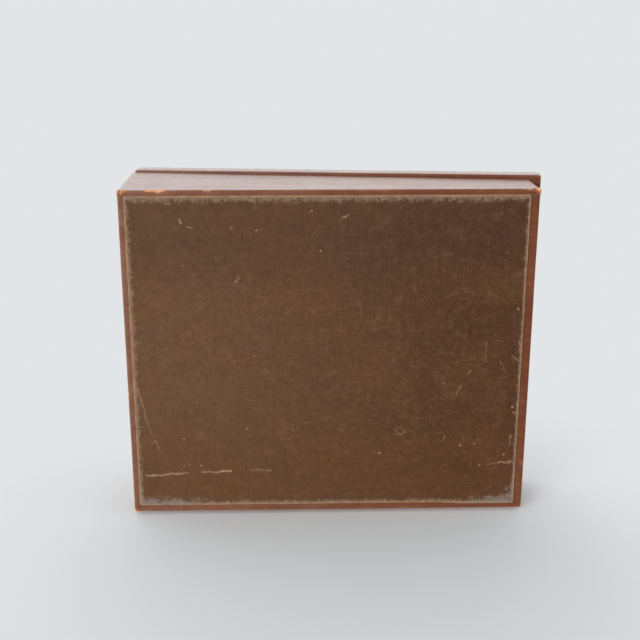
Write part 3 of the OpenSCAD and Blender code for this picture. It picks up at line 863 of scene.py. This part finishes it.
def peg_material(name, color, shade):
    """Polished plastic that clouds a little from color to shade."""
    p = Paint(name)
    cloud = p.noise(3 * MM, 2, 0.5)
    tone = p.mix(p.step(cloud, 0.3, 0.7), color, shade)
    fine = p.noise(0.8 * MM, 3, 0.6)
    return p.use(tone, p.step(fine, 0.3, 0.8, 0.18, 0.3), p.bump(fine, 0.01 * MM), Coat_Weight=0.3)


def card_material():
    """Plain fibrous card."""
    p = Paint("base_card")
    fibre = p.noise(1.2 * MM, 4, 0.7, stretch=(1, 0.3, 1))
    return p.use(p.mix(fibre, srgb(120, 96, 70), srgb(160, 132, 100)), 0.9, p.bump(fibre, 0.05 * MM))


def dress(material, *names):
    """Gives CAD nodes a material."""
    for name in names:
        slots = nodes[name].data.materials
        slots.clear()
        slots.append(material)


def soften(width, *names):
    """Breaks the sharp edges of CAD pieces, as the real ones are."""
    for name in names:
        bevel = nodes[name].modifiers.new("soft_edges", "BEVEL")
        bevel.width = width
        bevel.segments = 2
        bevel.limit_method = "ANGLE"
        bevel.angle_limit = math.radians(40)


HINGE_PIECES = [side + "_hinge_" + part for side in ("left", "right")
                for part in ("body_leaf", "lid_leaf", "pin")]
SHIPS = ["ship_of_five", "ship_of_four", "first_ship_of_three", "second_ship_of_three", "ship_of_two"]
ALONG_X, ALONG_Y = (0.06, 1, 1), (1, 0.06, 1)

leather = leather_material()
for skin in (body_cover(), lid_cover()):
    skin.data.materials.clear()
    skin.data.materials.append(leather)
pad = felt_pad()
pad.data.materials.append(felt_material())

pine = (srgb(206, 170, 120), srgb(176, 134, 86))
walnut = (srgb(112, 70, 42), srgb(74, 44, 27))
dress(wood_material("case_wood_deep", *pine, ALONG_Y, 0.55), "left_wall", "right_wall", "left_ledge",
      "right_ledge", "left_cleat", "right_cleat", "base_board", "lid_board")
dress(wood_material("case_wood_wide", *pine, ALONG_X, 0.55), "front_wall", "back_wall", "partition")
dress(wood_material("tray_wood", *walnut, ALONG_X, 0.32), "ship_tray", "white_peg_rack", "red_peg_rack")
dress(suede_material(), "wall_lining", "lid_lining", "well_floor")
dress(board_material("fleet_board_leather", fleet_lo, fleet_hi), "fleet_board")
dress(board_material("target_board_leather", target_lo, target_hi), "target_board")
dress(brass_material(), *HINGE_PIECES, "body_leaf_screws", "lid_leaf_screws")
dress(pewter_material(), *SHIPS)
dress(peg_material("white_peg", srgb(236, 230, 214), srgb(222, 213, 192)), "white_pegs")
dress(peg_material("red_peg", srgb(176, 34, 28), srgb(148, 24, 22)), "red_pegs")
dress(card_material(), "base_card")
soften(0.25 * MM, *HINGE_PIECES)
soften(0.3 * MM, *SHIPS)
soften(0.5 * MM, "ship_tray", "white_peg_rack", "red_peg_rack", "partition")

# ---------------------------------------------------------------- stage, lights and camera

STAGE_SIZE = 8.0
BACKDROP = srgb(226, 229, 231)
SIDE_FLOOR_GAP = 2.9 * MM   # from the case's right side, which the lid overhangs
BASE_FLOOR_GAP = 0.3 * MM
CAMERA_PLACE = (-0.2685, 0.0248, -0.7576)
CAMERA_TURN = (162.51, 1.35, -90.01)   # degrees


def floor_material(name, shade, fade_range):
    """Pale matt floor: solid from its front, clear from behind, fading out between two radii."""
    material = bpy.data.materials.new(name)
    material.use_nodes = True
    tree = material.node_tree
    tree.nodes.clear()
    output = tree.nodes.new("ShaderNodeOutputMaterial")
    floor = tree.nodes.new("ShaderNodeBsdfDiffuse")
    floor.inputs["Color"].default_value = (*[shade * c for c in BACKDROP], 1)
    clear = tree.nodes.new("ShaderNodeBsdfTransparent")
    place = tree.nodes.new("ShaderNodeTexCoord")
    length = tree.nodes.new("ShaderNodeVectorMath")
    length.operation = "LENGTH"
    fade = tree.nodes.new("ShaderNodeMapRange")
    fade.interpolation_type = "SMOOTHSTEP"
    fade.inputs["From Min"].default_value = fade_range[0]
    fade.inputs["From Max"].default_value = fade_range[1]
    side = tree.nodes.new("ShaderNodeNewGeometry")
    share = tree.nodes.new("ShaderNodeMath")
    share.operation = "MAXIMUM"
    mix = tree.nodes.new("ShaderNodeMixShader")
    tree.links.new(place.outputs["Object"], length.inputs[0])
    tree.links.new(length.outputs["Value"], fade.inputs["Value"])
    tree.links.new(fade.outputs["Result"], share.inputs[0])
    tree.links.new(side.outputs["Backfacing"], share.inputs[1])
    tree.links.new(share.outputs[0], mix.inputs["Fac"])
    tree.links.new(floor.outputs[0], mix.inputs[1])
    tree.links.new(clear.outputs[0], mix.inputs[2])
    tree.links.new(mix.outputs[0], output.inputs["Surface"])
    return material


def floor_plane(name, centre, facing, shade, fade_range):
    """A large plane at centre that faces along facing. It takes shadows but throws none."""
    mesh = bpy.data.meshes.new(name)
    h = STAGE_SIZE / 2
    mesh.from_pydata([(-h, -h, 0), (h, -h, 0), (h, h, 0), (-h, h, 0)], [], [(0, 1, 2, 3)])
    mesh.materials.append(floor_material(name, shade, fade_range))
    plane = bpy.data.objects.new(name, mesh)
    bpy.context.scene.collection.objects.link(plane)
    plane.location = centre
    plane.rotation_mode = "QUATERNION"
    plane.rotation_quaternion = Vector(facing).to_track_quat("Z", "Y")
    plane.visible_shadow = False
    plane.visible_diffuse = False
    plane.visible_glossy = False
    plane.visible_transmission = False


def soft_sun(name, towards, spread, strength, color=(1, 1, 1)):
    """Even soft light from the direction towards, as from a window spread degrees wide."""
    data = bpy.data.lights.new(name, "SUN")
    data.angle = math.radians(spread)
    data.energy = strength
    data.color = color
    light = bpy.data.objects.new(name, data)
    bpy.context.scene.collection.objects.link(light)
    light.rotation_mode = "QUATERNION"
    light.rotation_quaternion = (-Vector(towards)).to_track_quat("-Z", "Y")


def sky(pale, dim):
    """A pale backdrop above the table, dimmer straight below it."""
    world = bpy.data.worlds.new("backdrop")
    bpy.context.scene.world = world
    world.use_nodes = True
    tree = world.node_tree
    place = tree.nodes.new("ShaderNodeTexCoord")
    split = tree.nodes.new("ShaderNodeSeparateXYZ")
    height = tree.nodes.new("ShaderNodeMapRange")
    height.interpolation_type = "SMOOTHSTEP"
    height.inputs["From Min"].default_value = -0.9
    height.inputs["From Max"].default_value = -0.25
    height.inputs["To Min"].default_value = dim
    height.inputs["To Max"].default_value = pale
    background = tree.nodes["Background"]
    background.inputs["Color"].default_value = (*BACKDROP, 1)
    tree.links.new(place.outputs["Generated"], split.inputs[0])
    tree.links.new(split.outputs["Z"], height.inputs["Value"])
    tree.links.new(height.outputs["Result"], background.inputs["Strength"])


# The case is seen standing on its right side, so one floor lies along that side and one under the base
floor_plane("side_floor", (body_hi.x + SIDE_FLOOR_GAP, 0, -150 * MM), (-1, 0, 0), 0.93, (0.14, 0.45))
floor_plane("base_floor", (0, 0, -BASE_FLOOR_GAP), (0, 0, 1), 0.8, (0.5, 1.5))
sky(1.0, 0.15)
soft_sun("key", (-0.45, 0.7, -1.0), 30, 2.1, (1.0, 0.98, 0.95))
soft_sun("haze", (0.2, 0.65, -0.9), 40, 0.65)
soft_sun("sheen", (-0.35, 0.1, 1.0), 60, 0.95)
soft_sun("fill_front", (0.7, -0.8, 0.6), 50, 0.8)
soft_sun("fill_back", (-0.5, 0.9, 0.5), 50, 0.5)

camera_data = bpy.data.cameras.new("camera")
camera_data.lens = 60
camera_data.sensor_width = 36
camera = bpy.data.objects.new("camera", camera_data)
bpy.context.scene.collection.objects.link(camera)
camera.location = CAMERA_PLACE
camera.rotation_euler = [math.radians(a) for a in CAMERA_TURN]
bpy.context.scene.camera = camera
bpy.context.scene.view_settings.view_transform = "Standard"
